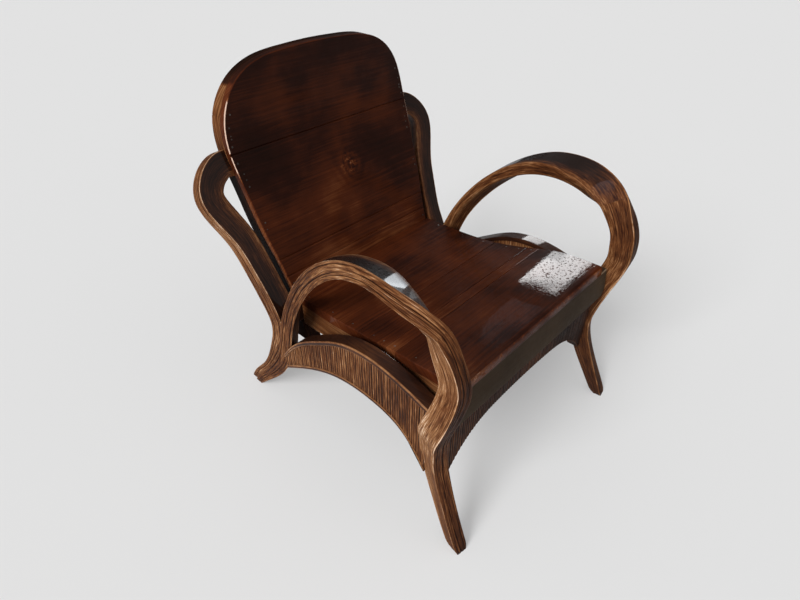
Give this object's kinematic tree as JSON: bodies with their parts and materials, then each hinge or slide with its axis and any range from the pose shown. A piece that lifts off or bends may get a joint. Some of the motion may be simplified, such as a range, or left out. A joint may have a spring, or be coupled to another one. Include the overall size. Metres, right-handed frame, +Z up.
{
  "type": "african birthing chair",
  "caption": "Low lounge armchair in dark hardwood with reeded bent arm loops, looped rear uprights, a dipped plank seat and a leaning plank back with a rounded top.",
  "frame": {"origin": "on the floor, under the middle of the chair's bounding box", "axes": "+X to the sitter's left, -Y to the front, +Z up"},
  "size_m": [0.6886, 0.7318, 0.8],
  "materials": {
    "limb_wood": "satin varnish",
    "reeded_rail_wood": "satin varnish",
    "seat_wood": "satin varnish",
    "back_wood": "satin varnish",
    "hoop_wood": "satin varnish",
    "fascia_wood": "satin varnish",
    "moulding_wood": "satin varnish",
    "frame_wood": "satin varnish"
  },
  "bodies": {
    "root": {"arm_bow_left": "limb_wood", "arm_bow_right": "limb_wood", "back_batten_lower": "frame_wood", "back_batten_upper": "frame_wood", "back_board_foot": "back_wood", "back_board_lower": "back_wood", "back_board_middle": "back_wood", "back_board_top": "back_wood", "back_hoop_side_left": "hoop_wood", "back_hoop_side_right": "hoop_wood", "back_hoop_top": "hoop_wood", "corner_block_left": "frame_wood", "corner_block_right": "frame_wood", "front_apron": "reeded_rail_wood", "front_fascia": "fascia_wood", "front_leg_left": "limb_wood", "front_leg_right": "limb_wood", "rear_cross_rail": "frame_wood", "rear_upright_left": "limb_wood", "rear_upright_right": "limb_wood", "scarf_tongue_left": "frame_wood", "scarf_tongue_right": "frame_wood", "seat_bearer_front": "frame_wood", "seat_bearer_rear": "frame_wood", "seat_board_front": "seat_wood", "seat_board_middle": "seat_wood", "seat_board_rear": "seat_wood", "seat_board_strip": "seat_wood", "seat_rail_left": "frame_wood", "seat_rail_right": "frame_wood", "side_apron_bead_left": "moulding_wood", "side_apron_bead_right": "moulding_wood", "side_apron_cap_left": "moulding_wood", "side_apron_cap_right": "moulding_wood", "side_apron_left": "reeded_rail_wood", "side_apron_right": "reeded_rail_wood"}
  },
  "joints": []
}
